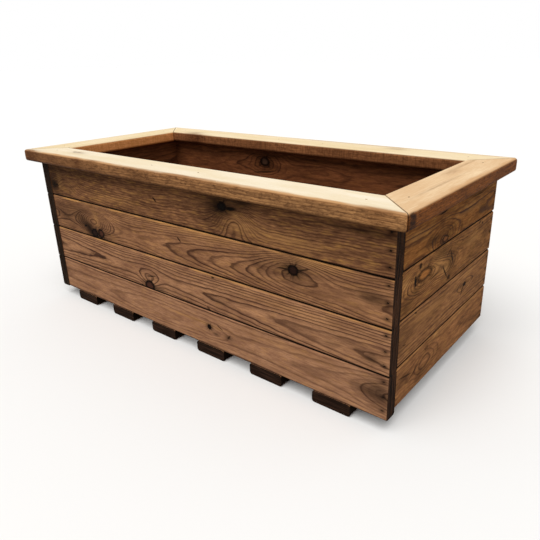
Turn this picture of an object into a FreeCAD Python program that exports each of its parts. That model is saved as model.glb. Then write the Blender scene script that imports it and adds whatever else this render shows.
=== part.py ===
import FreeCAD, Part
import os

import Sketcher

# A nailed timber trough planter: four walls of stacked boards, lapped round the corners
# like a pinwheel, a mitred rim on top, and six cross slats underneath as floor and feet.
# +X runs along the long side, +Y to the back, +Z up. The origin lies on the ground under
# the middle of the planter. All sizes are in millimetres.

DRIVING_SIZES = [
    ("box_length", 852, "outside of the walls, left to right"),
    ("box_depth", 384, "outside of the walls, front to back"),
    ("board_thick", 24, "thickness of every wall board"),
    ("board_high", 73.5, "height of a wall board"),
    ("board_arris", 4, "radius on the long edges of the wall boards"),
    ("end_ease", 2, "bevel on the outer edge of a board's butting end"),
    ("right_joint_rise", 2.5, "how much higher the joints of the right wall sit"),
    ("right_foot_rise", 7.5, "how far the right wall stops short of the slats"),
    ("rim_overhang", 24, "rim beyond the outside of the walls"),
    ("rim_wide", 70, "width of the flat rim boards"),
    ("rim_thick", 23.5, "thickness of the rim boards"),
    ("rim_arris", 5, "radius on the long edges of the rim"),
    ("rim_corner", 7, "radius on the outer corners of the rim, seen from above"),
    ("slat_wide", 70, "width of a base slat"),
    ("slat_thick", 21, "thickness of a base slat"),
    ("slat_arris", 5, "radius on the long edges of a base slat"),
    ("slat_pitch", 132, "from one base slat to the next"),
    ("slat_inset", 1, "slat ends behind the wall faces"),
    ("nail_long", 60, "length of a finish nail, head included"),
    ("shank_wide", 1.8, "nail shank, along its head"),
    ("shank_thick", 1.6, "nail shank, across its head"),
    ("head_long", 3.4, "T-shaped nail head, along the grain of the board it enters"),
    ("head_wide", 2, "T-shaped nail head, across that grain"),
    ("head_thick", 1, "thickness of a nail head"),
    ("chisel", 0.7, "bevel on each side of a nail's chisel point"),
    ("nail_sunk", 1, "heads set below the surface of the wood"),
    ("nail_low", 16, "lowest corner nail of a board, above its lower edge"),
    ("nail_middle", 39, "middle corner nail of a board, above its lower edge"),
    ("nail_high", 64, "highest corner nail of a board, above its lower edge"),
    ("corner_nail_in", 7.5, "corner nails in from the end of the board"),
    ("rim_nail_in", 52, "outer rim nails in from the end of the wall"),
    ("rim_nail_off", 60, "inner rim nails of the long sides, off the middle"),
    ("slat_nail_off", 20, "slat nails to each side of the slat's middle"),
]

# From the ground up. The last word of a board's name says which row it lies in.
ROWS = ["bottom", "lower", "upper", "top"]
SLAT_COUNT = 6

# Going round the box, each wall butts against the one before it and covers the end of
# the next one. Each has a name, a turn about Z and the outside size it runs along.
WALLS = [
    ("front", 0, "box_length"),
    ("right", 90, "box_depth"),
    ("back", 180, "box_length"),
    ("left", 270, "box_depth"),
]
BOX_TOP = f"sizes.slat_thick + {len(ROWS)} * sizes.board_high"

doc = FreeCAD.newDocument("planter")


def make_sheet():
    sheet = doc.addObject("Spreadsheet::Sheet", "sizes")
    for line, (alias, value, note) in enumerate(DRIVING_SIZES, start=1):
        sheet.set(f"A{line}", alias)
        sheet.set(f"B{line}", str(value))
        sheet.set(f"C{line}", note)
        sheet.setAlias(f"B{line}", alias)
    doc.recompute()
    return sheet


def make_body(name, turn=0, x="0", y="0", z="0"):
    """An empty body with its own corner at x, y, z, turned about the upright axis."""
    body = doc.addObject("PartDesign::Body", name)
    body.Label = name
    body.AllowCompound = True
    upright = FreeCAD.Vector(0, 0, 1)
    body.Placement = FreeCAD.Placement(FreeCAD.Vector(), FreeCAD.Rotation(upright, turn))
    for axis, place in zip("xyz", (x, y, z)):
        body.setExpression(f"Placement.Base.{axis}", place)
    return body


def make_sketch(body, name, plane, offset="0"):
    """A sketch on one of the body's own planes, moved along that plane's normal."""
    sketch = body.newObject("Sketcher::SketchObject", name)
    for feature in body.Origin.OriginFeatures:
        if feature.Role == plane:
            sketch.AttachmentSupport = [(feature, "")]
    sketch.MapMode = "FlatFace"
    sketch.setExpression("AttachmentOffset.Base.z", offset)
    return sketch


def draw_outlines(sketch, outlines):
    """Closed outlines whose corners follow pairs of expressions, across and up."""
    lines, constraints, sizes = [], [], []
    for corners in outlines:
        first, count = len(lines), len(corners)
        rough = [FreeCAD.Vector(10 * (k % 3), 10 * (k // 2), 0) for k in range(count)]
        for k, corner in enumerate(corners):
            here, following = first + k, first + (k + 1) % count
            lines.append(Part.LineSegment(rough[k], rough[(k + 1) % count]))
            constraints.append(Sketcher.Constraint("Coincident", here, 2, following, 1))
            for kind, size in zip(("DistanceX", "DistanceY"), corner):
                sizes.append((len(constraints), size))
                constraints.append(Sketcher.Constraint(kind, -1, 1, here, 1, 1.0))
    sketch.addGeometry(lines)
    sketch.addConstraint(constraints)
    for index, size in sizes:
        sketch.setExpression(f"Constraints[{index}]", size)


def draw_nails(sketch, groups, part):
    """The heads or shanks of nails as small rectangles.

    A group is a list of places, as pairs of expressions, and whether the heads lie upright.
    """
    sizes = {"head": ("head_long", "head_wide"), "shank": ("shank_wide", "shank_thick")}[part]
    outlines = []
    for places, upright in groups:
        across, up = reversed(sizes) if upright else sizes
        for middle, level in places:
            left, right = f"{middle} - sizes.{across} / 2", f"{middle} + sizes.{across} / 2"
            low, high = f"{level} - sizes.{up} / 2", f"{level} + sizes.{up} / 2"
            outlines.append([(left, low), (right, low), (right, high), (left, high)])
    draw_outlines(sketch, outlines)


def pad(body, name, sketch, length, backwards=False):
    """A pad that is computed at once, because what follows picks edges from it."""
    feature = body.newObject("PartDesign::Pad", name)
    feature.Profile = sketch
    feature.setExpression("Length", length)
    feature.Reversed = backwards
    sketch.recompute()
    feature.recompute()
    return feature


def cut(body, name, sketch, depth=None, backwards=False):
    """A pocket, right through where no depth is given."""
    feature = body.newObject("PartDesign::Pocket", name)
    feature.Profile = sketch
    feature.Reversed = backwards
    if depth is None:
        feature.Type = "ThroughAll"
    else:
        feature.setExpression("Length", depth)


def cut_driven(body, plane, places, offset="0", backwards=False):
    """The way of nails driven into a face: a recess for each head, then right through."""
    heads = make_sketch(body, "NailHeads", plane, offset)
    draw_nails(heads, [(places, False)], "head")
    cut(body, "HeadRecesses", heads, "sizes.nail_sunk + sizes.head_thick", backwards)
    shanks = make_sketch(body, "NailShanks", plane, offset)
    draw_nails(shanks, [(places, False)], "shank")
    cut(body, "ShankHoles", shanks, backwards=backwards)


def cut_received(body, name, sketch, places, outer_thick, upright=False, backwards=True):
    """Blind holes for nails that come through another piece of a given thickness."""
    draw_nails(sketch, [(places, upright)], "shank")
    reach = f"sizes.nail_long + sizes.nail_sunk - sizes.{outer_thick}"
    cut(body, name, sketch, reach, backwards)


def round_edges(body, name, feature, radius, wanted):
    """Rounds those edges of a feature whose two end points pass the test."""
    numbers = []
    for number, edge in enumerate(feature.Shape.Edges, start=1):
        if wanted(edge.Vertexes[0].Point, edge.Vertexes[-1].Point):
            numbers.append(f"Edge{number}")
    rounding = body.newObject("PartDesign::Fillet", name)
    rounding.Base = (feature, numbers)
    rounding.setExpression("Radius", radius)
    rounding.recompute()
    return rounding


def outer_corner(start, end):
    """Whether an edge stands upright on the face that lies along the body's X axis."""
    return abs(end.z - start.z) > 1 and abs(start.y) < 1


def long_edge(start, end):
    """Whether an edge runs along the body's X axis."""
    return abs(end.x - start.x) > 1


def make_stock(body, length, wide, high, arris, corner=None):
    """Planed timber along the body's X with rounded long edges, before any cutting."""
    section = make_sketch(body, "Section", "YZ_Plane")
    draw_outlines(section, [[("0", "0"), (wide, "0"), (wide, high), ("0", high)]])
    stock = pad(body, "Stock", section, length)
    if corner:
        stock = round_edges(body, "Corners", stock, corner, outer_corner)
    round_edges(body, "Arris", stock, arris, long_edge)


def outside_corner(turn, butt="0", beyond="0"):
    """The corner of the box where a wall with this turn starts, as expressions.

    butt moves it along the wall, and beyond moves it outwards both ways.
    """
    east, north = "sizes.box_length / 2", "sizes.box_depth / 2"
    return {
        0: (f"-{east} - {beyond} + {butt}", f"-{north} - {beyond}"),
        90: (f"{east} + {beyond}", f"-{north} - {beyond} + {butt}"),
        180: (f"{east} + {beyond} - {butt}", f"{north} + {beyond}"),
        270: (f"-{east} - {beyond}", f"{north} + {beyond} - {butt}"),
    }[turn]


def row_base(wall, row):
    """Height of the lower edge of a row above the ground."""
    base = f"sizes.slat_thick + {row} * sizes.board_high"
    if wall != "right":
        return base
    return f"{base} + sizes.{'right_joint_rise' if row else 'right_foot_rise'}"


def nail_levels(row):
    """Heights of a row's three corner nails above the ground, the same on every wall."""
    base = row_base("front", row)
    return [f"{base} + sizes.{level}" for level in ("nail_low", "nail_middle", "nail_high")]


def rim_nail_offsets(span):
    """Where rim nails stand, measured from the middle of a side."""
    outer = f"(sizes.{span} / 2 - sizes.rim_nail_in)"
    if span == "box_depth":
        return [f"-{outer}", outer]
    return [f"-{outer}", "-sizes.rim_nail_off", "sizes.rim_nail_off", outer]


def slat_middles():
    """Where the slats lie, measured from the middle of the planter."""
    return [f"{n - (SLAT_COUNT - 1) / 2} * sizes.slat_pitch" for n in range(SLAT_COUNT)]


def slat_nail_offsets():
    """Where slat nails stand, measured from the middle of a long side."""
    return [f"{middle} {side} sizes.slat_nail_off" for middle in slat_middles() for side in "-+"]


def make_board(wall, turn, span, row):
    """A wall board, seen from outside: it starts at its butting end and laps at the other."""
    base = row_base(wall, row)
    top = BOX_TOP if ROWS[row] == "top" else row_base(wall, row + 1)
    start = outside_corner(turn, butt="sizes.board_thick")
    body = make_body(f"{wall}_board_{ROWS[row]}", turn, *start, base)
    length, high = f"sizes.{span} - sizes.board_thick", f"({top}) - ({base})"
    make_stock(body, length, "sizes.board_thick", high, "sizes.board_arris")

    eased = make_sketch(body, "EasedCorner", "XY_Plane")
    draw_outlines(eased, [[("0", "0"), ("sizes.end_ease", "0"), ("0", "sizes.end_ease")]])
    cut(body, "EaseEnd", eased, backwards=True)

    levels = [f"{level} - ({base})" for level in nail_levels(row)]
    cut_driven(body, "XZ_Plane", [(f"{length} - sizes.corner_nail_in", level) for level in levels])
    butt_nails = make_sketch(body, "ButtNails", "YZ_Plane")
    places = [("sizes.corner_nail_in", level) for level in levels]
    cut_received(body, "ButtNailHoles", butt_nails, places, "board_thick")

    middle, inside = f"sizes.{span} / 2 - sizes.board_thick", "sizes.board_thick / 2"
    if ROWS[row] == "top":
        rim_nails = make_sketch(body, "RimNails", "XY_Plane", high)
        places = [(f"{middle} + {offset}", inside) for offset in rim_nail_offsets(span)]
        cut_received(body, "RimNailHoles", rim_nails, places, "rim_thick", backwards=False)
    if ROWS[row] == "bottom" and span == "box_length":
        slat_nails = make_sketch(body, "SlatNails", "XY_Plane")
        places = [(f"{middle} + {offset}", inside) for offset in slat_nail_offsets()]
        cut_received(body, "SlatNailHoles", slat_nails, places, "slat_thick", upright=True)
    return body


def make_rim_board(wall, turn, span):
    """A flat rim board, sawn to a mitre through the middle of each rounded corner."""
    start = outside_corner(turn, beyond="sizes.rim_overhang")
    body = make_body(f"rim_{wall}", turn, *start, BOX_TOP)
    length, wide = f"(sizes.{span} + 2 * sizes.rim_overhang)", "sizes.rim_wide"
    make_stock(body, length, wide, "sizes.rim_thick", "sizes.rim_arris", "sizes.rim_corner")

    mitres = make_sketch(body, "Mitres", "XY_Plane")
    near_mitre = [("0", "0"), (wide, wide), ("0", wide)]
    far_mitre = [(length, "0"), (length, wide), (f"{length} - {wide}", wide)]
    draw_outlines(mitres, [near_mitre, far_mitre])
    cut(body, "MitreCuts", mitres, backwards=True)

    inside = "sizes.rim_overhang + sizes.board_thick / 2"
    places = [(f"{length} / 2 + {offset}", inside) for offset in rim_nail_offsets(span)]
    cut_driven(body, "XY_Plane", places, offset="sizes.rim_thick")
    return body


def make_slat(number, middle):
    """A base slat from front to back, which the front and back walls stand on."""
    start = (f"{middle} + sizes.slat_wide / 2", "-sizes.box_depth / 2 + sizes.slat_inset")
    body = make_body(f"base_slat_{number}", 90, *start)
    length = "sizes.box_depth - 2 * sizes.slat_inset"
    make_stock(body, length, "sizes.slat_wide", "sizes.slat_thick", "sizes.slat_arris")

    near_end = "(sizes.board_thick / 2 - sizes.slat_inset)"
    ends = [near_end, f"{length} - {near_end}"]
    sides = [f"sizes.slat_wide / 2 {side} sizes.slat_nail_off" for side in "-+"]
    places = [(end, side) for end in ends for side in sides]
    cut_driven(body, "XY_Plane", places, backwards=True)
    return body


def make_nails(body, plane, groups, surface, backwards=False):
    """Finish nails driven in from a surface: pairs of places and whether heads turn upright."""
    inwards = "-" if backwards else "+"
    heads = make_sketch(body, "Heads", plane, f"{surface} {inwards} sizes.nail_sunk")
    draw_nails(heads, groups, "head")
    pad(body, "HeadPads", heads, "sizes.head_thick", backwards)
    below_heads = f"{surface} {inwards} (sizes.nail_sunk + sizes.head_thick)"
    shanks = make_sketch(body, "Shanks", plane, below_heads)
    draw_nails(shanks, groups, "shank")
    nails = pad(body, "ShankPads", shanks, "sizes.nail_long - sizes.head_thick", backwards)

    points = body.newObject("PartDesign::Chamfer", "ChiselPoints")
    points.Base = (nails, point_edges(nails.Shape, shanks.Placement))
    points.setExpression("Size", "sizes.chisel")
    return body


def point_edges(shape, placement):
    """The two longer edges at the far end of every nail shank."""
    inverse = placement.inverse()
    depths = [abs(inverse.multVec(edge.CenterOfMass).z) for edge in shape.Edges]
    last = max(depths)
    ends = [(n, e) for n, (e, d) in enumerate(zip(shape.Edges, depths), start=1) if last - d < 0.01]
    longest = max(edge.Length for _, edge in ends)
    return [f"Edge{number}" for number, edge in ends if longest - edge.Length < 0.01]


def make_corner_nails(index):
    """The nails through the end of one wall into the end grain of the next one."""
    wall, turn, span = WALLS[index]
    following = WALLS[(index + 1) % len(WALLS)][0]
    start = outside_corner(turn, butt="sizes.board_thick")
    body = make_body(f"corner_nails_{wall}_{following}", turn, *start)
    across = f"sizes.{span} - sizes.board_thick - sizes.corner_nail_in"
    places = [(across, level) for row in range(len(ROWS)) for level in nail_levels(row)]
    return make_nails(body, "XZ_Plane", [(places, False)], "0", backwards=True)


def facing_places(offsets, span, other, upright):
    """Places on two facing walls, from the front left corner of the box."""
    near = "sizes.board_thick / 2"
    places = []
    for offset in offsets:
        for across in (near, f"sizes.{other} - {near}"):
            along = f"sizes.{span} / 2 + {offset}"
            places.append((across, along) if upright else (along, across))
    return places


def make_rim_nails():
    """Nails down through the rim into the middle of the walls' top edges."""
    body = make_body("rim_nails", 0, *outside_corner(0))
    long_sides = facing_places(rim_nail_offsets("box_length"), "box_length", "box_depth", False)
    short_sides = facing_places(rim_nail_offsets("box_depth"), "box_depth", "box_length", True)
    groups = [(long_sides, False), (short_sides, True)]
    return make_nails(body, "XY_Plane", groups, f"{BOX_TOP} + sizes.rim_thick", backwards=True)


def make_slat_nails():
    """Nails up through the slats into the lower edges of the front and back walls."""
    body = make_body("slat_nails", 0, *outside_corner(0))
    places = facing_places(slat_nail_offsets(), "box_length", "box_depth", False)
    return make_nails(body, "XY_Plane", [(places, True)], "0")


def check(pieces):
    """Stops the build if anything failed, a pocket cut nothing, or a piece is empty or broken."""
    for item in doc.Objects:
        if "Invalid" in item.State or "Error" in item.State:
            raise RuntimeError(f"{item.Label} did not build: {item.State}")
        if item.TypeId == "PartDesign::Pocket":
            if item.Shape.Volume > item.BaseFeature.Shape.Volume - 1:
                raise RuntimeError(f"{item.Label} removes nothing")
    for piece in pieces:
        if piece.Shape.isNull() or not piece.Shape.isValid():
            raise RuntimeError(f"{piece.Label} has no valid shape")


make_sheet()
pieces = []
for name, turn, span in WALLS:
    for row in range(len(ROWS)):
        pieces.append(make_board(name, turn, span, row))
    pieces.append(make_rim_board(name, turn, span))
for number, middle in enumerate(slat_middles(), start=1):
    pieces.append(make_slat(number, middle))
for index in range(len(WALLS)):
    pieces.append(make_corner_nails(index))
pieces.append(make_rim_nails())
pieces.append(make_slat_nails())

doc.recompute()
check(pieces)
os.makedirs("parts", exist_ok=True)
for piece in pieces:
    piece.Shape.exportStep(f"parts/{piece.Label}.step")
    solids = len(piece.Shape.Solids)
    print(f"{piece.Label}: {solids} solid(s), {piece.Shape.Volume / 1000:.2f} cm3")
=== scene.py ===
import math
import random

import bpy
from mathutils import Euler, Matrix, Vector


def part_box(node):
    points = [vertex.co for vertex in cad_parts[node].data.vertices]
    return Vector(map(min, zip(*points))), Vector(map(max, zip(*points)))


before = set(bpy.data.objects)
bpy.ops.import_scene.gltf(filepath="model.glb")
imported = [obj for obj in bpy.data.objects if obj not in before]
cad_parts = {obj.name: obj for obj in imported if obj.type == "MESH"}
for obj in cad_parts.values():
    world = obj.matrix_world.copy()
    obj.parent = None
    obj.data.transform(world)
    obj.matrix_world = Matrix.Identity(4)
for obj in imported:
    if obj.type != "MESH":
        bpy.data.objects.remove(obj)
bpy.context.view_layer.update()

millimetre = 0.001
print("frame loaded:", len(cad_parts), "nodes")


def hexColour(code):
    # an sRGB hex value as the linear colour that the shaders take
    channels = [int(code[at:at + 2], 16) / 255 for at in (1, 3, 5)]
    linear = [c / 12.92 if c <= 0.04045 else ((c + 0.055) / 1.055) ** 2.4 for c in channels]
    return (*linear, 1.0)


def addNode(tree, kind, *sources, take=0, sockets=None, stops=None, **settings):
    # adds a node with its settings, links or fills in its inputs, and gives back one output
    node = tree.nodes.new("ShaderNode" + kind)
    for name, value in settings.items():
        setattr(node, name, value)
    for place, shade in stops or []:
        ramp = node.color_ramp.elements
        ends = {0: ramp[0], 1: ramp[len(ramp) - 1]}
        stop = ends.get(place) or ramp.new(place)
        stop.color = (shade, shade, shade, 1)
    for socket, source in {**dict(enumerate(sources)), **(sockets or {})}.items():
        if isinstance(source, bpy.types.NodeSocket):
            tree.links.new(source, node.inputs[socket])
        elif source is not None:
            node.inputs[socket].default_value = source
    return node.outputs[take] if node.outputs else node


# the camera, solved on the planter's corners so that the picture frames it the same way
cameraView = {
    "place": (702.6, -762.5, 511.7),  # mm
    "turn": (68.949, 1.274, 38.382),  # degrees
    "lens": 35.063,
    "shift": (-0.0234, -0.0192),
    "nearest": 10,  # mm, nothing closer is drawn
}
camera = bpy.data.objects.new("camera", bpy.data.cameras.new("camera"))
camera.location = Vector(cameraView["place"]) * millimetre
camera.rotation_euler = Euler([math.radians(angle) for angle in cameraView["turn"]])
camera.data.lens = cameraView["lens"]
camera.data.shift_x, camera.data.shift_y = cameraView["shift"]
camera.data.clip_start = cameraView["nearest"] * millimetre
bpy.context.scene.collection.objects.link(camera)
bpy.context.scene.camera = camera
bpy.context.scene.view_settings.view_transform = "Standard"
print("camera placed")

# a pale studio: a white surround, one very soft light from high in front, and a pale floor
surround = {
    "glow": 0.50,  # what it adds to the light on the planter
    "seen": 1.0,  # white
}
skylight = {
    "power": 2.3,
    "spread": 55,  # degrees across, so that shadows are soft
    "from": (0.16, -0.50, 1.0),
}
floor = {
    "side": 80.0,
    "drop": 0.5,  # mm below the slats
    "colour": "#f3f2f0",
    "bounce": "#9c9a96",  # what it throws back on the planter
}


def seenDirectly(tree):
    # 1 for what is seen straight or in a reflection, and 0 for light that only bounces
    rays = addNode(tree, "LightPath").node
    either = addNode(tree, "Math", rays.outputs["Is Camera Ray"], rays.outputs["Is Glossy Ray"],
                     operation="MAXIMUM")
    return addNode(tree, "Math", either, rays.outputs["Is Transmission Ray"], operation="MAXIMUM")


def makeSurround():
    world = bpy.data.worlds.new("paleSurround")
    world.use_nodes = True
    tree = world.node_tree
    tree.nodes.clear()
    strength = addNode(tree, "Mix", seenDirectly(tree), sockets={2: surround["glow"], 3: surround["seen"]})
    addNode(tree, "OutputWorld", addNode(tree, "Background", (1, 1, 1, 1), strength))
    bpy.context.scene.world = world


def makeSkylight():
    light = bpy.data.objects.new("skylight", bpy.data.lights.new("skylight", "SUN"))
    light.data.energy = skylight["power"]
    light.data.angle = math.radians(skylight["spread"])
    light.rotation_euler = Vector(skylight["from"]).to_track_quat("Z", "Y").to_euler()
    bpy.context.scene.collection.objects.link(light)


def mattWhitePaint():
    # matt white paint on a plain floor: no shine, so that only the planter's shadow shows on it
    material = bpy.data.materials.new("mattWhitePaint")
    material.use_nodes = True
    tree = material.node_tree
    tree.nodes.clear()
    colour = addNode(tree, "Mix", seenDirectly(tree), take=2, data_type="RGBA", sockets={
        6: hexColour(floor["bounce"]), 7: hexColour(floor["colour"])})
    addNode(tree, "OutputMaterial", addNode(tree, "BsdfDiffuse", colour))
    return material


def makeFloor():
    half, level = floor["side"] / 2, -floor["drop"] * millimetre
    corners = [(x * half, y * half, level) for x, y in [(-1, -1), (1, -1), (1, 1), (-1, 1)]]
    sheet = bpy.data.meshes.new("floor")
    sheet.from_pydata(corners, [], [(0, 1, 2, 3)])
    sheet.materials.append(mattWhitePaint())
    board = bpy.data.objects.new("floor", sheet)
    bpy.context.scene.collection.objects.link(board)


makeSurround()
makeSkylight()
makeFloor()
print("studio made")

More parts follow.
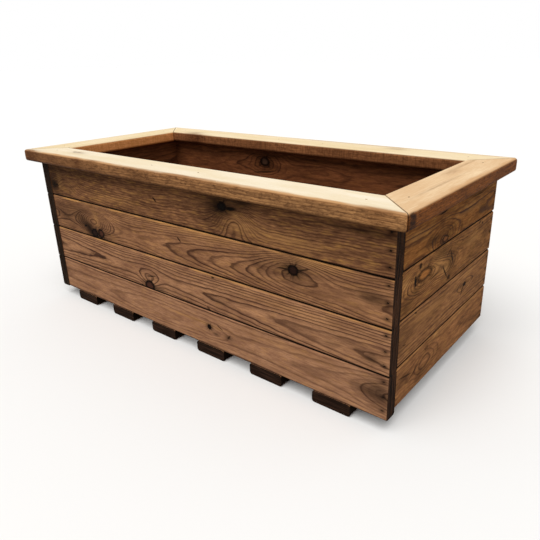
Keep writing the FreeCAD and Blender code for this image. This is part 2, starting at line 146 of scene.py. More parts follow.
# the walls and slats: fir boards, planed, nailed up and brushed with brown wood stain. The stain
# sinks into the soft early wood and leaves the hard late wood as dark lines, so each board shows
# its cut year rings: flames along the middle, close lines near its edges, and eddies round the
# knots. Nothing shines. Sizes are in mm, along the grain and across it, in the planter's frame.
#   pith     the tree's middle: its place across the board, how far that drifts for each mm
#            along it, and how deep it lies behind the face
#   ring     a year's growth;   shift moves the lines by part of a ring
#   saddle   where the flames part, how fast they narrow to each side, and how blunt it is
#   waver    how far the rings stray;   crinkle   how far they shake
#   fuzz     how faint they are;   nap   how torn the grain is;   wearAndHighlight   how pale its upper arris is, from wear and a painted highlight
#   eddies   place along and across, reach along and across, depth in rings
#   knots    place along and across, half length and half width, how dark, and the heart's colour
#   stains   place along and across, reach along and across, how dark, and its tilt in degrees; a few are bands of painted shade just below the rim
#   clear    paler patches, written like stains
#   cracks   place along and across, half length and half width, how dark, and its tilt
wallBoards = {
    "front_board_top": {
        "pith": (186, 0.0, 40), "ring": 4.0, "shift": 0, "saddle": (-60, 0.03, 0.03, 60),
        "waver": 7, "crinkle": 4, "fuzz": 0.2, "nap": 1.0, "wearAndHighlight": 0.15,
        "light": "#a5734e", "dark": "#44271a",
        "eddies": [(144, 274, 36, 30, 8), (-340, 285, 40, 34, 5), (20, 300, 60, 24, 2)],
        "knots": [(121, 293, 10, 8, 1.0, "#120e0b")],
        "stains": [(112, 291, 21, 14, 1.0), (116, 297, 46, 20, 0.7), (-388, 266, 15, 13, 1.0),
                   # (0, 317, 500, 9, 0.4) is painted shade: a dark band along the top of the board, under
                   # the rim's overhang
                   (-410, 285, 70, 60, 0.72), (-300, 300, 120, 12, 0.5), (0, 317, 500, 9, 0.4),
                   (165, 306, 24, 10, 0.75), (375, 299, 60, 4, 0.6), (-330, 262, 24, 9, 0.35),
                   (250, 310, 120, 7, 0.3), (96, 262, 30, 12, 0.35)],
        "clear": [(-368, 264, 6, 5, 0.7), (-366, 284, 9, 12, 0.35), (160, 266, 34, 12, 0.35),
                  (250, 262, 60, 10, 0.4), (150, 283, 7, 3, 0.7), (-180, 262, 70, 8, 0.3)],
        "cracks": [(139, 292, 13, 3.2, 1.0, 4), (-377, 266, 5, 1.8, 1.0, 0), (-48, 280, 6, 2.0, 0.9, -40)],
    },
    "front_board_upper": {
        "pith": (197, 0.0, 34), "ring": 2.8, "shift": 0.5, "saddle": (-130, 0.02, 0.05, 50),
        "waver": 4, "crinkle": 1.8, "fuzz": 0.0, "nap": 0.35, "wearAndHighlight": 0.95,
        "light": "#c08a61", "dark": "#573526",
        "eddies": [(-256, 206, 50, 28, 9.5), (262, 222, 62, 30, 5), (-425, 205, 36, 16, 3)],
        "knots": [(-235, 181, 11, 10, 1.0, "#4f3023"), (-258, 178, 12, 10, 1.0, "#251711"),
                  (262, 217, 10, 9, 1.0, "#2a1913")],
        "stains": [(-275, 186, 20, 11, 1.0, -35), (-294, 196, 36, 14, 0.6, -20), (396, 208, 26, 10, 0.7),
                   (262, 217, 22, 15, 0.8), (262, 217, 60, 24, 0.25), (-250, 174, 40, 8, 0.9),
                   (-350, 205, 80, 30, 0.52), (-215, 190, 40, 18, 0.3), (-300, 222, 26, 7, 0.35),
                   (200, 212, 26, 16, 0.35)],
        "clear": [(-247, 209, 9, 14, 0.5), (300, 234, 50, 6, 0.4), (60, 236, 90, 6, 0.3)],
        "cracks": [(-289, 189, 5, 2.2, 1.0, 20), (9, 216, 6, 2.0, 0.8, -40), (-208, 184, 8, 1.2, 0.7, 15),
                   (244, 216, 12, 1.4, 0.8, 5), (282, 222, 12, 1.3, 0.8, 20)],
    },
    "front_board_lower": {
        "pith": (124, -0.012, 42.5), "ring": 2.9, "shift": 0.57, "saddle": (-82, 0.021, 0.021, 60),
        "waver": 2.6, "crinkle": 1.4, "fuzz": 0.0, "nap": 0.2, "wearAndHighlight": 0.65,
        "light": "#c8936b", "dark": "#664031",
        "eddies": [(-90, 112, 26, 18, 2.6), (-95, 150, 60, 26, 1.2)],
        "knots": [(-91, 101, 15, 12, 1.0, "#4d2e22")],
        "stains": [(398, 115, 15, 8, 0.6), (-392, 129, 20, 5, 0.6), (95, 120, 24, 4, 0.5),
                   (-242, 127, 14, 4, 0.55), (-60, 100, 18, 6, 0.6), (-91, 99, 20, 11, 0.5),
                   (370, 128, 40, 8, 0.3), (330, 117, 20, 4, 0.45), (-340, 118, 40, 5, 0.3)],
        "clear": [(250, 150, 90, 8, 0.25)],
        "cracks": [(88, 163, 4, 2.2, 0.9, 0), (72, 99, 5, 2.2, 0.7, -20), (-115, 98, 4, 1.5, 0.8, 30),
                   (-84, 123, 15, 1.7, 0.75, 12)],
    },
    "front_board_bottom": {
        "pith": (58, 0.0, 50), "ring": 4.4, "shift": 0.3, "saddle": (200, 0.0, 0.03, 60),
        "waver": 4, "crinkle": 2, "fuzz": 0.15, "nap": 0.3, "wearAndHighlight": 0.0,
        "light": "#c5926d", "dark": "#754c38",
        "eddies": [(-75, 52, 140, 24, 2.3), (78, 54, 34, 13, 1.8), (440, 64, 52, 24, 5)],
        "knots": [(70, 62, 5, 5, 1.0, "#0e0806")],
        "stains": [(70, 62, 11, 7, 0.75), (412, 64, 26, 26, 0.8), (385, 62, 22, 8, 0.5),
                   (-410, 60, 18, 20, 0.6), (118, 54, 12, 5, 0.6), (86, 52, 8, 3, 0.8),
                   (-298, 24, 4, 4, 0.5), (-426, 50, 10, 40, 0.5)],
        "clear": [(30, 66, 80, 2.5, 0.5), (250, 80, 80, 6, 0.2)],
        "cracks": [(97, 68, 8, 1.4, 0.7, -25), (118, 56, 6, 1.8, 0.7, 50)],
    },
    "right_board_top": {
        "pith": (262, 0.0, 46), "ring": 3.2, "shift": 0, "saddle": (20, 0.02, 0.02, 60),
        "waver": 6, "crinkle": 1.8, "fuzz": 0.0, "nap": 0.8, "wearAndHighlight": 0.0,
        "light": "#ba7a42", "dark": "#472917",
        "eddies": [(-36, 250, 40, 26, 6)],
        "knots": [(-30, 253, 12, 6, 0.8, "#8a5733")],
        "stains": [(-75, 262, 24, 9, 0.7), (-45, 299, 20, 3, 0.8), (35, 256, 6, 8, 0.7),
                   (110, 297, 44, 3, 0.7), (-20, 262, 34, 14, 0.4), (130, 262, 50, 12, 0.35)],
        "clear": [(-130, 286, 34, 6, 0.4), (70, 280, 50, 7, 0.35)],
        "cracks": [(-33, 250, 7, 1.2, 0.7, 0), (-45, 297, 14, 1.4, 0.9, 2), (100, 294, 26, 1.3, 0.7, -2)],
    },
    "right_board_upper": {
        "pith": (205, 0.0, 46), "ring": 3.2, "shift": 0, "saddle": (60, 0.02, 0.02, 60),
        "waver": 7, "crinkle": 2.2, "fuzz": 0.0, "nap": 0.8, "wearAndHighlight": 0.1,
        "light": "#c78954", "dark": "#4b2d1c",
        "eddies": [(-95, 218, 50, 24, 8), (-15, 205, 40, 26, 4)],
        "knots": [(-97, 218, 27, 10, 0.7, "#c07c42"), (-127, 217, 3, 8, 1.0, "#100a06"),
                  (-113, 236, 4, 4, 0.9, "#1d120b"), (-2, 181, 5, 4, 0.8, "#1d120b")],
        "stains": [(5, 205, 22, 28, 0.6), (-30, 232, 24, 9, 0.55), (-150, 187, 26, 14, 0.6),
                   (120, 190, 70, 24, 0.4), (60, 226, 40, 10, 0.4), (160, 218, 20, 20, 0.35),
                   (-122, 200, 14, 5, 0.5)],
        "clear": [(-45, 218, 24, 14, 0.6), (-18, 202, 16, 12, 0.7), (-160, 222, 16, 10, 0.5),
                  (95, 218, 30, 9, 0.45)],
        "cracks": [(-97, 219, 5, 1.2, 0.7, 0), (-20, 196, 16, 1.8, 0.9, -50), (5, 214, 14, 1.8, 0.8, -60),
                   (123, 240, 5, 1.8, 0.9, 20), (136, 236, 5, 1.8, 0.8, -30), (-60, 203, 18, 1.4, 0.7, 3),
                   (-8, 226, 12, 1.5, 0.7, 30)],
    },
    "right_board_lower": {
        "pith": (140, 0.0, 46), "ring": 3.2, "shift": 0, "saddle": (0, 0.012, 0.012, 60),
        "waver": 5, "crinkle": 2, "fuzz": 0.0, "nap": 0.6, "wearAndHighlight": 0.1,
        "light": "#c08859", "dark": "#573423",
        "eddies": [(78, 140, 34, 12, 3)],
        "knots": [(77, 141, 6, 4.5, 0.95, "#1a100a")],
        "stains": [(60, 142, 26, 3, 0.6), (100, 140, 40, 3, 0.45), (70, 134, 8, 3, 0.8, 60),
                   (-160, 140, 24, 30, 0.35), (150, 120, 40, 14, 0.3)],
        "clear": [(-60, 150, 60, 8, 0.3), (90, 158, 40, 5, 0.35)],
        "cracks": [(-118, 165, 5, 1.5, 0.8, -20), (-150, 127, 6, 1.2, 0.6, -15), (66, 131, 8, 1.6, 0.8, 70)],
    },
    "right_board_bottom": {
        "pith": (62, 0.0, 50), "ring": 4.2, "shift": 0, "saddle": (-60, 0.04, 0.03, 60),
        "waver": 8, "crinkle": 2.5, "fuzz": 0.0, "nap": 0.6, "wearAndHighlight": 0.3,
        "light": "#be8355", "dark": "#50311f",
        "eddies": [(-70, 60, 40, 30, 3)],
        "knots": [(-68, 84, 6, 4, 0.6, "#6a4228")],
        "stains": [(-80, 45, 22, 12, 0.4), (160, 40, 40, 16, 0.4), (-150, 70, 24, 14, 0.3)],
        "clear": [(-35, 92, 8, 2.4, 1.0), (40, 90, 80, 4, 0.4)],
        "cracks": [(-140, 70, 22, 1.4, 0.7, -14), (-110, 62, 18, 1.4, 0.7, 25)],
    },
    "back_board_top": {
        "pith": (270, 0.0, 36), "ring": 5.5, "shift": 0, "saddle": (60, 0.03, 0.03, 60),
        "waver": 12, "crinkle": 4, "fuzz": 0.0, "nap": 0.2, "wearAndHighlight": 0.4,
        "light": "#bd8456", "dark": "#4a2d1d",
        "eddies": [(-94, 286, 52, 34, 6), (-180, 280, 44, 22, 2), (60, 276, 70, 20, 2)],
        "knots": [(-94, 286, 14, 11, 0.9, "#665444")],
        # (-60, 300, 300, 6, 0.35) is painted shade: a dark band just below the rim on the inside
        "stains": [(-94, 285, 30, 18, 0.6), (-60, 300, 300, 6, 0.35)],
        "cracks": [(-96, 262, 34, 2.0, 0.7, 8)],
    },
}
# a board that the picture hardly shows gets quiet grain and, by chance, a knot with its eddy
plainBoard = {"ring": 3.2, "shift": 0, "waver": 6, "crinkle": 2, "fuzz": 0.2, "nap": 0.4, "wearAndHighlight": 0.3,
              "light": "#ad7a50", "dark": "#573523"}
plainChance = {
    "pithOff": (-16, 16), "pithDepth": (34, 52),
    "saddleAlong": (-120, 120), "saddleShape": (0.02, 0.02, 60),
    "knotted": 0.7,  # share of such boards
    "knotAlong": 0.7,  # furthest from the middle, as a share of the half length
    "knotOff": (-18, 18), "knotLong": (7, 12), "knotWide": (6, 9), "knotHeart": "#3a2418",
    "eddyReach": (56, 26), "eddyRings": (4, 8), "stain": (22, 16, 0.5),
}
# patterns in the wood, as noise drawn out along the grain: by how much, how wide it is in mm,
# its detail, its roughness, and a number that keeps it apart from the others
wallGrain = {
    "fibre": (9, 1.9, 4.0, 0.7, 0),  # real fibres are too fine to show, so these are coarser
    "nap": (5, 4.2, 2.0, 0.6, 6),
    "cloud": (4, 18, 4.0, 0.6, 2),
    "fade": (4, 15, 2.0, 0.5, 9),
    "fleck": (3, 2.2, 1.0, 0.5, 13),
}
# how the cut rings are drawn
ringDrawing = {
    "waver": (7, 30, 1.0, 0.5, 0), "crinkle": (3, 9, 1.0, 0.5, 5),  # written like wallGrain
    # how dark a year is from one spring to the next: pale early wood, then the late-wood line
    "year": [(0, 0.3), (0.08, 0.0), (0.42, 0.03), (0.66, 0.4), (0.8, 1.0), (0.94, 1.0), (1, 0.3)],
    "vigour": (0.2, 1.0),  # the faintest and the strongest year
}
# four numbers are two values of a pattern and the share of the colour at each
wallLook = {
    "line": "#3c2219", "lineContrast": 0.96, "lineFade": (0.32, 0.58), "lineLeast": 0.8,
    "fuzzFades": 0.45, "fuzzBreaks": 0.5,  # what a board's fuzz takes from its lines
    "cloud": (0.35, 0.75, 0.0, 0.7), "fibre": (0.42, 0.62, 0.0, 0.5),
    "gold": "#cc9550", "goldFade": (0.5, 0.75), "goldShare": 0.5, "goldLeast": 0.4,
    "tornFade": (0.25, 0.5), "tornShare": 0.75,
    "fleck": "#1d110b", "flecked": (0.74, 0.8, 0.0, 0.75),
    "clear": "#d59c60",
    "sootAndShade": "#0f0906", "sootAndShadeFade": (0.3, 0.7), "sootAndShadeLeast": 0.75,  # stains and cracks, and the bands of painted shade listed among the stains
    "nailStain": (5.5, 4, 0.8),  # the rust-black round a nail: its reach and how dark
    "crackRim": (0.6, 1.3),
    "knotRing": "#0f0705", "knotRim": (0.85, 1.15), "knotHeart": (0.35, 0.8),
    "spokeCount": 3.5, "spokeRim": (0.52, 0.62), "spokeShare": 0.7, "spokeReach": (1.1, 2.1),
    # the pale upper arris is partly wear and partly a painted highlight, where the arris faces the light
    # from above
    "wearAndHighlight": "#d39a5c", "wearAndHighlightReach": (2.0, 5.5), "wearAndHighlightFade": (0.42, 0.62, 0.08, 1.0),
    # painted shade: near black along each board's top and bottom edges, down in the joints
    "jointShade": "#040201", "jointShadeShare": 0.98, "jointShadeTop": (0.6, 1.8), "jointShadeBottom": (1.4, 3.8),
    "endLight": "#4a3020", "endDark": "#0a0503", "sawn": (0.75, 0.92, 0.0, 0.97),
    "endStreaks": (0.025, 0.3, 1), "endFade": (0.34, 0.56),
    # painted shade multiplied onto faces towards the inside of the box, and the facing it starts from
    "inside": "#c8b0aa", "insideFrom": (0.3, 0.8),
    "fibreRelief": 0.7, "bump": 0.6, "bumpDepth": 0.6,  # mm
    "roughness": (0.85, 0.7), "gloss": 0.04,  # roughness between the lines and on them
}
slatLook = {"endLight": "#33221a", "endDark": "#110a07"}  # the slats' ends are darker than the walls' ends
# the slats' wood is painted paler, as painted light: their sides get little light down by the floor
slatWood = {"light": "#b58262", "dark": "#74492f"}
leftLook = {"endLight": "#30241a"}  # the ends of the left wall, at the left of the front
raggedness = 0.9  # how far fibres pull the outline of a knot or crack about
nailSeen = 3  # mm, how far below a face a nail's head still counts as in it
nailApart = 8  # mm, corners closer together belong to one nail


def boardPlace(piece):
    # which way the grain runs in a piece, which way lies across it, and where it is, in mm
    low, high = [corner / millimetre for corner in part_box(piece)]
    size = high - low
    if piece.startswith("rim"):
        order = (0, 1, 2) if size.x > size.y else (1, 0, 2)
    elif piece.startswith("base_slat"):
        order = (1, 0, 2)
    else:
        order = (0, 2, 1) if size.x > size.y else (1, 2, 0)
    return order, low, high


def reachOf(tree, at, centre, reach, tilt=0):
    # a point of the face as seen from a place on it, counted in reaches
    flat = addNode(tree, "CombineXYZ", at[0], at[1])
    if tilt:
        flat = addNode(tree, "VectorRotate", flat, (*centre, 0), rotation_type="Z_AXIS",
                       sockets={"Angle": math.radians(-tilt)})
    return addNode(tree, "VectorMath", flat, (1 / reach[0], 1 / reach[1], 0),
                   (-centre[0] / reach[0], -centre[1] / reach[1], 0), operation="MULTIPLY_ADD")


def nearness(tree, at, centre, reach, tilt=0):
    # 1 at a place on the face, falling off smoothly over the reach
    scaled = reachOf(tree, at, centre, reach, tilt)
    squared = addNode(tree, "VectorMath", scaled, scaled, operation="DOT_PRODUCT", take=1)
    return addNode(tree, "Math", addNode(tree, "Math", squared, -1.0, operation="MULTIPLY"),
                   operation="EXPONENT")


def farness(tree, at, centre, reach, ragged, tilt=0):
    # 0 at a place on the face and 1 at the reach, with a ragged outline
    far = addNode(tree, "VectorMath", reachOf(tree, at, centre, reach, tilt), operation="LENGTH", take=1)
    centred = addNode(tree, "Math", ragged, -0.5, operation="ADD")
    return addNode(tree, "Math", centred, raggedness, far, operation="MULTIPLY_ADD")


def grainNoise(tree, at, seed, stretch, width, detail, roughness, apart):
    # noise drawn out along the grain, as wallGrain lists it
    drawn = addNode(tree, "Math", at[0], 1 / stretch, operation="MULTIPLY")
    place = addNode(tree, "CombineXYZ", drawn, at[1], at[2])
    return addNode(tree, "TexNoise", noise_dimensions="4D", sockets={
        "Vector": place, "W": seed + apart, "Scale": 1 / width, "Detail": detail, "Roughness": roughness})


def brushOver(tree, under, over, *shares, blend="MIX"):
    # lays one colour over another where all the shares together say so
    share = shares[0]
    for further in shares[1:]:
        share = addNode(tree, "Math", share, further, operation="MULTIPLY")
    return addNode(tree, "Mix", share, take=2, data_type="RGBA", blend_type=blend,
                   sockets={6: under, 7: over})


def ringLines(tree, at, board, seed):
    # the distance from the tree's middle, bent by knots, cut into years: 1 on a late-wood line
    pithAcross, drift, pithDepth = board["pith"]
    middle = addNode(tree, "Math", at[0], drift, pithAcross, operation="MULTIPLY_ADD")
    offAcross = addNode(tree, "Math", at[1], middle, operation="SUBTRACT")
    offDepth = addNode(tree, "Math", at[2], pithDepth, operation="ADD")
    away = addNode(tree, "CombineXYZ", offAcross, offDepth)
    height = addNode(tree, "VectorMath", away, operation="LENGTH", take=1)

    saddle, narrowLeft, narrowRight, blunt = board["saddle"]
    fromSaddle = addNode(tree, "Math", at[0], saddle, operation="SUBTRACT")
    bluntly = addNode(tree, "CombineXYZ", fromSaddle, float(blunt))
    spread = addNode(tree, "VectorMath", bluntly, operation="LENGTH", take=1)
    narrowing = addNode(tree, "MapRange", fromSaddle, -blunt, blunt, narrowLeft, narrowRight)
    fall = addNode(tree, "Math", spread, narrowing, operation="MULTIPLY")
    height = addNode(tree, "Math", height, fall, operation="SUBTRACT")

    for bend in ("waver", "crinkle"):
        noise = grainNoise(tree, at, seed, *ringDrawing[bend])
        centred = addNode(tree, "Math", noise, -0.5, operation="ADD")
        height = addNode(tree, "Math", centred, board[bend], height, operation="MULTIPLY_ADD")
    for along, across, reachAlong, reachAcross, rings in board.get("eddies", []):
        eddy = nearness(tree, at, (along, across), (reachAlong, reachAcross))
        height = addNode(tree, "Math", eddy, -rings * board["ring"], height, operation="MULTIPLY_ADD")

    years = addNode(tree, "Math", height, 1 / board["ring"], board["shift"], operation="MULTIPLY_ADD")
    phase = addNode(tree, "Math", years, operation="FRACT")
    late = addNode(tree, "ValToRGB", phase, stops=ringDrawing["year"])
    year = addNode(tree, "Math", addNode(tree, "Math", years, seed, operation="ADD"), operation="FLOOR")
    vigour = addNode(tree, "TexWhiteNoise", noise_dimensions="1D", sockets={"W": year})
    vigour = addNode(tree, "MapRange", vigour, 0, 1, *ringDrawing["vigour"])
    return addNode(tree, "Math", late, vigour, operation="MULTIPLY")


def nailHeads(order, low, high, face):
    # where nails show in a face of a piece, along and across it, in mm
    along, across, through = order
    heads = []
    for nails in [node for name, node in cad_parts.items() if "nails" in name]:
        for vertex in nails.data.vertices:
            spot = vertex.co / millimetre
            corner = (spot[along], spot[across])
            inFace = all(low[axis] < spot[axis] < high[axis] for axis in (along, across))
            if not inFace or abs(spot[through] - face) >= nailSeen:
                continue
            near = [head for head in heads if math.dist(head[0], corner) < nailApart]
            if near:
                near[0].append(corner)
            else:
                heads.append([corner])
    return [tuple(sum(values) / len(head) for values in zip(*head)) for head in heads]


def startWood(name):
    # a new wood, with where its points lie in mm and which way its surface faces
    material = bpy.data.materials.new(name)
    material.use_nodes = True
    tree = material.node_tree
    coordinates = addNode(tree, "TexCoord").node.outputs
    scaled = addNode(tree, "VectorMath", coordinates["Object"], operation="SCALE",
                     sockets={"Scale": 1 / millimetre})
    place = addNode(tree, "SeparateXYZ", scaled).node.outputs
    facing = addNode(tree, "SeparateXYZ", coordinates["Normal"]).node.outputs
    return material, place, facing


def finishWood(material, colour, fibre, line, look):
    # fibres and late wood stand up a little, and the hard lines are a little smoother
    tree = material.node_tree
    shader = tree.nodes["Principled BSDF"]
    relief = addNode(tree, "Math", fibre, look["fibreRelief"], line, operation="MULTIPLY_ADD")
    bump = addNode(tree, "Bump", sockets={
        "Strength": look["bump"], "Distance": look["bumpDepth"] * millimetre, "Height": relief})
    roughness = addNode(tree, "MapRange", line, 0.0, 1.0, *look["roughness"])
    tree.links.new(colour, shader.inputs["Base Color"])
    tree.links.new(bump, shader.inputs["Normal"])
    tree.links.new(roughness, shader.inputs["Roughness"])
    shader.inputs["Specular IOR Level"].default_value = look["gloss"]
    return material


def stainedLines(tree, at, fade, board, look, seed):
    # ring lines come and go along a board, and more so where it is fuzzy
    least = look["lineLeast"] - look["fuzzBreaks"] * board["fuzz"]
    strength = addNode(tree, "MapRange", fade, *look["lineFade"], least, 1.0)
    contrast = look["lineContrast"] * (1 - look["fuzzFades"] * board["fuzz"])
    strength = addNode(tree, "Math", strength, contrast, operation="MULTIPLY")
    return addNode(tree, "Math", ringLines(tree, at, board, seed), strength, operation="MULTIPLY")


def stainedFace(tree, at, grain, lines, board, look):
    # the board's own colours: clouds, thin and torn places, fibres, paler patches, lines, flecks
    light, dark = hexColour(board["light"]), hexColour(board["dark"])
    goldShare = look["goldShare"] * (look["goldLeast"] + board["nap"])
    golden = addNode(tree, "MapRange", grain["nap"], *look["goldFade"], 0.0, goldShare)
    torn = addNode(tree, "MapRange", grain["nap"], *look["tornFade"], look["tornShare"] * board["nap"], 0.0)
    colour = brushOver(tree, light, dark, addNode(tree, "MapRange", grain["cloud"], *look["cloud"]))
    colour = brushOver(tree, colour, hexColour(look["gold"]), golden)
    colour = brushOver(tree, colour, dark, torn)
    colour = brushOver(tree, colour, dark, addNode(tree, "MapRange", grain["fibre"], *look["fibre"]))
    for along, across, reachAlong, reachAcross, paleness, *tilt in board.get("clear", []):
        patch = nearness(tree, at, (along, across), (reachAlong, reachAcross), *tilt)
        colour = brushOver(tree, colour, hexColour(look["clear"]), patch, paleness)
    colour = brushOver(tree, colour, hexColour(look["line"]), lines)
    flecks = addNode(tree, "MapRange", grain["fleck"], *look["flecked"])
    return brushOver(tree, colour, hexColour(look["fleck"]), flecks)


def stainedMarks(tree, at, grain, colour, board, look, nails):
    # stains, the bands of painted shade that are listed with them, the marks round nails, and cracks
    reachAlong, reachAcross, darkness = look["nailStain"]
    nailed = [(along, across, reachAlong, reachAcross, darkness) for along, across in nails]
    for along, across, reachAlong, reachAcross, darkness, *tilt in board.get("stains", []) + nailed:
        patch = nearness(tree, at, (along, across), (reachAlong, reachAcross), *tilt)
        broken = addNode(tree, "MapRange", grain["fade"], *look["sootAndShadeFade"],
                         darkness * look["sootAndShadeLeast"], darkness)
        colour = brushOver(tree, colour, hexColour(look["sootAndShade"]), patch, broken)
    for along, across, halfLong, halfWide, darkness, tilt in board.get("cracks", []):
        far = farness(tree, at, (along, across), (halfLong, halfWide), grain["fibre"], tilt)
        crack = addNode(tree, "MapRange", far, *look["crackRim"], darkness, 0.0,
                        interpolation_type="SMOOTHSTEP")
        colour = brushOver(tree, colour, hexColour(look["sootAndShade"]), crack)
    return colour


def stainedKnot(tree, at, fibre, colour, knot, look):
    # a dark ring round a heart of its own colour, with drying checks that spread like spokes
    along, across, halfLong, halfWide, darkness, heartColour = knot
    centre, half = (along, across), (halfLong, halfWide)
    far = farness(tree, at, centre, half, fibre)
    direction = addNode(tree, "VectorMath", reachOf(tree, at, centre, half), operation="NORMALIZE")
    spokes = addNode(tree, "TexNoise", sockets={
        "Vector": direction, "Scale": look["spokeCount"], "Detail": 1.0})
    spoke = addNode(tree, "MapRange", spokes, *look["spokeRim"], 0.0, look["spokeShare"] * darkness)
    inReach = addNode(tree, "MapRange", far, *look["spokeReach"], 1.0, 0.0)
    colour = brushOver(tree, colour, hexColour(look["knotRing"]), spoke, inReach)
    whole = addNode(tree, "MapRange", far, *look["knotRim"], darkness, 0.0, interpolation_type="SMOOTHSTEP")
    heart = addNode(tree, "MapRange", far, *look["knotHeart"], 1.0, 0.0, interpolation_type="SMOOTHSTEP")
    ringed = brushOver(tree, hexColour(look["knotRing"]), hexColour(heartColour), heart)
    return brushOver(tree, colour, ringed, whole)


def stainedEdges(tree, across, low, high, fade, colour, board, look):
    # pale on the upper arris, partly from wear and partly a painted highlight, and near black with painted
    # shade down in the joints and along each board's top and bottom edges
    toTop = addNode(tree, "Math", high, across, operation="SUBTRACT")
    toBottom = addNode(tree, "Math", across, low, operation="SUBTRACT")
    wearAndHighlight = addNode(tree, "MapRange", toTop, *look["wearAndHighlightReach"], board["wearAndHighlight"], 0.0,
                   interpolation_type="SMOOTHSTEP")
    patchy = addNode(tree, "MapRange", fade, *look["wearAndHighlightFade"])
    colour = brushOver(tree, colour, hexColour(look["wearAndHighlight"]), wearAndHighlight, patchy)
    for nearest, reach in [(toTop, look["jointShadeTop"]), (toBottom, look["jointShadeBottom"])]:
        jointShade = addNode(tree, "MapRange", nearest, *reach, look["jointShadeShare"], 0.0,
                       interpolation_type="SMOOTHSTEP")
        colour = brushOver(tree, colour, hexColour(look["jointShade"]), jointShade)
    return colour


def sawnEnds(tree, at, endwards, colour, look, seed):
    # sawn ends drink the stain and go nearly black, in streaks
    sawn = addNode(tree, "MapRange", addNode(tree, "Math", endwards, operation="ABSOLUTE"), *look["sawn"])
    place = addNode(tree, "CombineXYZ", at[1], at[2], float(seed))
    place = addNode(tree, "VectorMath", place, look["endStreaks"], operation="MULTIPLY")
    streaks = addNode(tree, "TexNoise", sockets={"Vector": place, "Scale": 1.0, "Detail": 3.0})
    streaks = addNode(tree, "MapRange", streaks, *look["endFade"])
    ends = brushOver(tree, hexColour(look["endLight"]), hexColour(look["endDark"]), streaks)
    return brushOver(tree, colour, ends, sawn)


def stainedWood(piece, board, look, seed):
    order, low, high = boardPlace(piece)
    alongAxis, acrossAxis, depthAxis = order
    material, place, facing = startWood("stainedFir_" + piece)
    tree = material.node_tree
    # depth is counted inwards from the face that shows
    outside = 1 if (low + high)[depthAxis] > 0 else -1
    face = (high if outside > 0 else low)[depthAxis]
    depth = addNode(tree, "Math", place[depthAxis], -outside, face * outside, operation="MULTIPLY_ADD")
    at = (place[alongAxis], place[acrossAxis], depth)
    grain = {name: grainNoise(tree, at, seed, *pattern) for name, pattern in wallGrain.items()}

    lines = stainedLines(tree, at, grain["fade"], board, look, seed)
    colour = stainedFace(tree, at, grain, lines, board, look)
    colour = stainedMarks(tree, at, grain, colour, board, look, nailHeads(order, low, high, face))
    for knot in board.get("knots", []):
        colour = stainedKnot(tree, at, grain["fibre"], colour, knot, look)
    colour = stainedEdges(tree, at[1], low[acrossAxis], high[acrossAxis], grain["fade"], colour, board, look)
    colour = sawnEnds(tree, at, facing[alongAxis], colour, look, seed)
    # painted shade: faces towards the inside of the box are darkened, for the shade that falls in there
    inwards = addNode(tree, "Math", facing[depthAxis], -outside, operation="MULTIPLY")
    inside = addNode(tree, "MapRange", inwards, *look["insideFrom"])
    colour = brushOver(tree, colour, hexColour(look["inside"]), inside, blend="MULTIPLY")
    return finishWood(material, colour, grain["fibre"], lines, look)


def plainWood(piece, chance):
    # grain for a board that wallBoards doesn't list
    order, low, high = boardPlace(piece)
    middle = (low + high)[order[1]] / 2
    off, depth = chance.uniform(*plainChance["pithOff"]), chance.uniform(*plainChance["pithDepth"])
    saddle = (chance.uniform(*plainChance["saddleAlong"]), *plainChance["saddleShape"])
    board = dict(plainBoard, pith=(middle + off, 0.0, depth), saddle=saddle)
    along = plainChance["knotAlong"] * low[order[0]] * chance.uniform(-1, 1)
    across = middle + chance.uniform(*plainChance["knotOff"])
    if "board" in piece and chance.random() < plainChance["knotted"]:
        rings = chance.uniform(*plainChance["eddyRings"])
        halfLong = chance.uniform(*plainChance["knotLong"])
        halfWide = chance.uniform(*plainChance["knotWide"])
        board["eddies"] = [(along, across, *plainChance["eddyReach"], rings)]
        board["knots"] = [(along, across, halfLong, halfWide, 1.0, plainChance["knotHeart"])]
        board["stains"] = [(along, across, *plainChance["stain"])]
    if piece.startswith("base_slat"):
        board.update(slatWood)
    return board


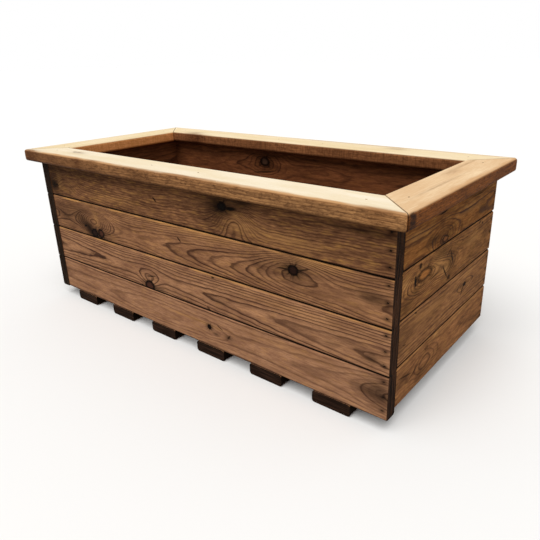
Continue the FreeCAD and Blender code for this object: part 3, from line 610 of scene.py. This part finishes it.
# the rim: the same fir, sanded and oiled. Its upward faces are painted cream and its edges brown by which
# way each faces:
# partly a paler top and stain on the edges, partly painted light from above on the tops. Four numbers are
# written like those of wallLook
rimGrain = {
    "fibre": (12, 1.6, 4.0, 0.7, 0),  # coarser than real fibres, like the walls'
    "cloud": (6, 24, 3.0, 0.5, 2),
    "fade": (4, 12, 2.0, 0.5, 9),
    "speck": (2.5, 3.2, 4.0, 0.7, 4),
}
rimLook = {
    "cream": ("#f3e6cf", "#e3cda2"), "butter": ("#f1dfbe", "#dcc18c"), "honey": ("#edd1a9", "#cda070"),
    "topCloud": (0.35, 0.7, 0.0, 0.6), "topLine": 0.4, "topFibre": (0.42, 0.68, 0.0, 0.5),
    "gold": "#bb844c", "goldReach": (2.0, 12.0), "goldStray": 14.0,  # mm in from the outer edge
    "palerAlong": (-330, 420),  # where the front's edge starts to grow paler, and where it ends
    "edgeCloud": (0.3, 0.7, 0.0, 0.6), "edgeLine": 0.6, "edgeFibre": (0.38, 0.64, 0.0, 0.55),
    "edgeSpeck": (0.47, 0.64, 0.0, 0.65),
    "sawnInside": (0.3, 0.8, 0.0, 0.45), "sawMarks": (0.35, 0.05), "sawFade": (0.48, 0.62),
    "underside": (17.0, 23.0, 0.0, 0.6),  # mm below the top
    "arris": "#6e4522", "arrisFade": (0.35, 0.6, 0.15, 0.75),
    "arrisFacing": [(0, 0.0), (0.3, 0.0), (0.62, 1.0), (0.8, 0.5), (1, 0.0)],
    "topFacing": (0.45, 0.95),
    "stain": "#7d5026", "stainFade": (0.3, 0.6, 0.4, 1.0),
    "knot": "#2b180d", "knotRim": (0.5, 1.2), "knotSpeck": (0.4, 0.55, 0.55, 1.0),
    # painted shade along the mitres: its colour, and how it fades over the mm from the mitre
    "jointShade": "#160c07", "mitreGap": (0.4, 1.6, 0.9, 0.0),  # mm from the mitre
    "fibreRelief": 0.8, "bump": 0.4, "bumpDepth": 0.5,
    "roughness": (0.75, 0.6), "gloss": 0.06,
}
rimBoard = {"pithOff": 20, "pithDrift": 0.01, "pithDepth": 30, "ring": 3.0, "shift": 0.0,
            "saddle": (0, 0.01, 0.01, 60), "waver": 8, "crinkle": 2}
# edge is its colour and what darkens it, golden how strong the band along the outer arris is
rimMarks = {
    "rim_front": {
        "top": "cream", "edge": ("#ae7a4d", "#4a2b19"), "paler": ("#ffbd7b", 1.0), "golden": 0.85,
        "knots": [(-316, -174, 5, 4, 0.85)],
        "stains": [(-306, -172, 16, 3, 0.8), (-298, -176, 26, 12, 0.3), (-195, -212, 20, 5, 0.6),
                   (-425, -214, 34, 12, 0.7), (-243, -216, 16, 4, 0.7), (60, -212, 90, 5, 0.5),
                   (410, -214, 30, 8, 0.5), (-60, -214, 50, 4, 0.4)],
    },
    "rim_back": {
        "top": "butter", "edge": ("#c18050", "#55301b"), "golden": 0.6, "knots": [],
        "stains": [(-315, 163, 26, 12, 0.55), (-300, 148, 34, 6, 0.8), (228, 190, 22, 10, 0.5),
                   (150, 206, 200, 6, 0.3)],
    },
    "rim_left": {
        # its edge colours are painted bright orange: painted light on its inner edge
        "top": "butter", "edge": ("#fcb16f", "#bf753e"), "golden": 0.4, "knots": [], "stains": [],
    },
    "rim_right": {
        "top": "honey", "edge": ("#b87038", "#2c1509"), "golden": 0.45,
        "knots": [(-202, 452, 12, 5, 0.95)],
        "stains": [(40, 400, 26, 8, 0.3), (110, 395, 60, 3, 0.4), (-60, 420, 80, 3, 0.4)],
    },
}


def rimTop(tree, grain, line, fromEdge, marks):
    pale, tan = [hexColour(code) for code in rimLook[marks["top"]]]
    top = brushOver(tree, pale, tan, addNode(tree, "MapRange", grain["cloud"], *rimLook["topCloud"]))
    top = brushOver(tree, top, tan, line, rimLook["topLine"])
    top = brushOver(tree, top, tan, addNode(tree, "MapRange", grain["fibre"], *rimLook["topFibre"]))
    # the stain crept over the outer arris and left a golden band that thins out inwards
    stray = addNode(tree, "Math", grain["fade"], -0.5, operation="ADD")
    crept = addNode(tree, "Math", stray, -rimLook["goldStray"], fromEdge, operation="MULTIPLY_ADD")
    band = addNode(tree, "MapRange", crept, *rimLook["goldReach"], marks["golden"], 0.0,
                   interpolation_type="SMOOTHSTEP")
    return brushOver(tree, top, hexColour(rimLook["gold"]), band)


def rimEdge(tree, at, grain, line, inwards, upwards, marks, seed):
    brown, umber = [hexColour(code) for code in marks["edge"]]
    if "paler" in marks:
        paler, share = marks["paler"]
        towardsRight = addNode(tree, "MapRange", at[0], *rimLook["palerAlong"], 0.0, share)
        brown = brushOver(tree, brown, hexColour(paler), towardsRight)
    edge = brushOver(tree, brown, umber, addNode(tree, "MapRange", grain["cloud"], *rimLook["edgeCloud"]))
    edge = brushOver(tree, edge, umber, line, rimLook["edgeLine"])
    edge = brushOver(tree, edge, umber, addNode(tree, "MapRange", grain["fibre"], *rimLook["edgeFibre"]))
    edge = brushOver(tree, edge, umber, addNode(tree, "MapRange", grain["speck"], *rimLook["edgeSpeck"]))
    # saw marks stand upright on the inner edge
    sawn = addNode(tree, "MapRange", inwards, *rimLook["sawnInside"])
    closeAlong, closeUp = rimLook["sawMarks"]
    sawPlace = addNode(tree, "CombineXYZ", addNode(tree, "Math", at[0], closeAlong, operation="MULTIPLY"),
                       addNode(tree, "Math", at[2], closeUp, operation="MULTIPLY"), float(seed))
    sawMarks = addNode(tree, "TexNoise", sockets={"Vector": sawPlace, "Scale": 1.0, "Detail": 1.0})
    edge = brushOver(tree, edge, umber, sawn, addNode(tree, "MapRange", sawMarks, *rimLook["sawFade"]))
    # the underside and the arris are darker, the arris in places only
    edge = brushOver(tree, edge, umber, addNode(tree, "MapRange", at[2], *rimLook["underside"]))
    arris = addNode(tree, "ValToRGB", upwards, stops=rimLook["arrisFacing"])
    patchy = addNode(tree, "MapRange", grain["fade"], *rimLook["arrisFade"])
    return brushOver(tree, edge, hexColour(rimLook["arris"]), arris, patchy)


def rimStains(tree, at, grain, colour, marks):
    for along, across, reachAlong, reachAcross, darkness in marks["stains"]:
        patch = nearness(tree, at, (along, across), (reachAlong, reachAcross))
        broken = addNode(tree, "MapRange", grain["fibre"], *rimLook["stainFade"])
        colour = brushOver(tree, colour, hexColour(rimLook["stain"]), patch, broken, darkness,
                           blend="MULTIPLY")
    for along, across, halfLong, halfWide, darkness in marks["knots"]:
        far = farness(tree, at, (along, across), (halfLong, halfWide), grain["fibre"])
        knot = addNode(tree, "MapRange", far, *rimLook["knotRim"], darkness, 0.0,
                       interpolation_type="SMOOTHSTEP")
        specks = addNode(tree, "MapRange", grain["speck"], *rimLook["knotSpeck"])
        colour = brushOver(tree, colour, hexColour(rimLook["knot"]), knot, specks)
    return colour


def mitreShade(tree, place, colour):
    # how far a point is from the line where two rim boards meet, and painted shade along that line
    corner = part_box("rim_right")[1]
    sideways, frontways = [addNode(tree, "Math", place[axis], operation="ABSOLUTE") for axis in (0, 1)]
    off = addNode(tree, "Math", sideways, frontways, operation="SUBTRACT")
    off = addNode(tree, "Math", off, (corner.x - corner.y) / millimetre, operation="SUBTRACT")
    gap = addNode(tree, "Math", off, operation="ABSOLUTE")
    mitreShadeShare = addNode(tree, "MapRange", gap, *rimLook["mitreGap"])
    return brushOver(tree, colour, hexColour(rimLook["jointShade"]), mitreShadeShare)


def rimWood(piece, seed):
    order, low, high = boardPlace(piece)
    alongAxis, acrossAxis, depthAxis = order
    marks = rimMarks[piece]
    material, place, facing = startWood("oiledFir_" + piece)
    tree = material.node_tree
    depth = addNode(tree, "Math", high[depthAxis], place[depthAxis], operation="SUBTRACT")
    at = (place[alongAxis], place[acrossAxis], depth)
    grain = {name: grainNoise(tree, at, seed, *pattern) for name, pattern in rimGrain.items()}
    middle = (low + high)[acrossAxis] / 2
    pith = (middle + rimBoard["pithOff"], rimBoard["pithDrift"], rimBoard["pithDepth"])
    line = ringLines(tree, at, {**rimBoard, "pith": pith}, seed)

    outside = 1 if middle > 0 else -1
    outerEdge = (high if outside > 0 else low)[acrossAxis]
    fromEdge = addNode(tree, "Math", place[acrossAxis], -outside, outerEdge * outside,
                       operation="MULTIPLY_ADD")
    inwards = addNode(tree, "Math", facing[acrossAxis], -outside, operation="MULTIPLY")
    top = rimTop(tree, grain, line, fromEdge, marks)
    edge = rimEdge(tree, at, grain, line, inwards, facing[depthAxis], marks, seed)
    # painted light: upward faces take the pale top and the rest the brown edge, so the tops carry light from
    # above
    upward = addNode(tree, "MapRange", facing[depthAxis], *rimLook["topFacing"],
                     interpolation_type="SMOOTHSTEP")
    colour = brushOver(tree, edge, top, upward)
    colour = rimStains(tree, at, grain, colour, marks)
    colour = mitreShade(tree, place, colour)
    return finishWood(material, colour, grain["fibre"], line, rimLook)


# the nails: steel wire nails that the wood's acid has blackened. Small dull dots, no glint
nailLook = {"colour": "#1b1715", "metallic": 1.0, "roughness": 0.6}


def nailSteel():
    material = bpy.data.materials.new("blackenedNailSteel")
    material.use_nodes = True
    shader = material.node_tree.nodes["Principled BSDF"]
    shader.inputs["Base Color"].default_value = hexColour(nailLook["colour"])
    shader.inputs["Metallic"].default_value = nailLook["metallic"]
    shader.inputs["Roughness"].default_value = nailLook["roughness"]
    return material


def dress(piece, material):
    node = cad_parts[piece]
    node.data.materials.clear()
    node.data.materials.append(material)


seedStep = 3.7  # keeps the grain of any two pieces apart
seed, chance = 1.0, random.Random(5)
steel = nailSteel()
for piece in sorted(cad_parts):
    seed += seedStep
    if "nails" in piece:
        dress(piece, steel)
        continue
    if piece.startswith("rim"):
        dress(piece, rimWood(piece, seed))
        continue
    board = wallBoards.get(piece) or plainWood(piece, chance)
    look = wallLook
    if piece.startswith("base_slat"):
        look = {**wallLook, **slatLook}
    if piece.startswith("left_board"):
        look = {**wallLook, **leftLook}
    dress(piece, stainedWood(piece, board, look, seed))
print("wood stained and nails blackened")
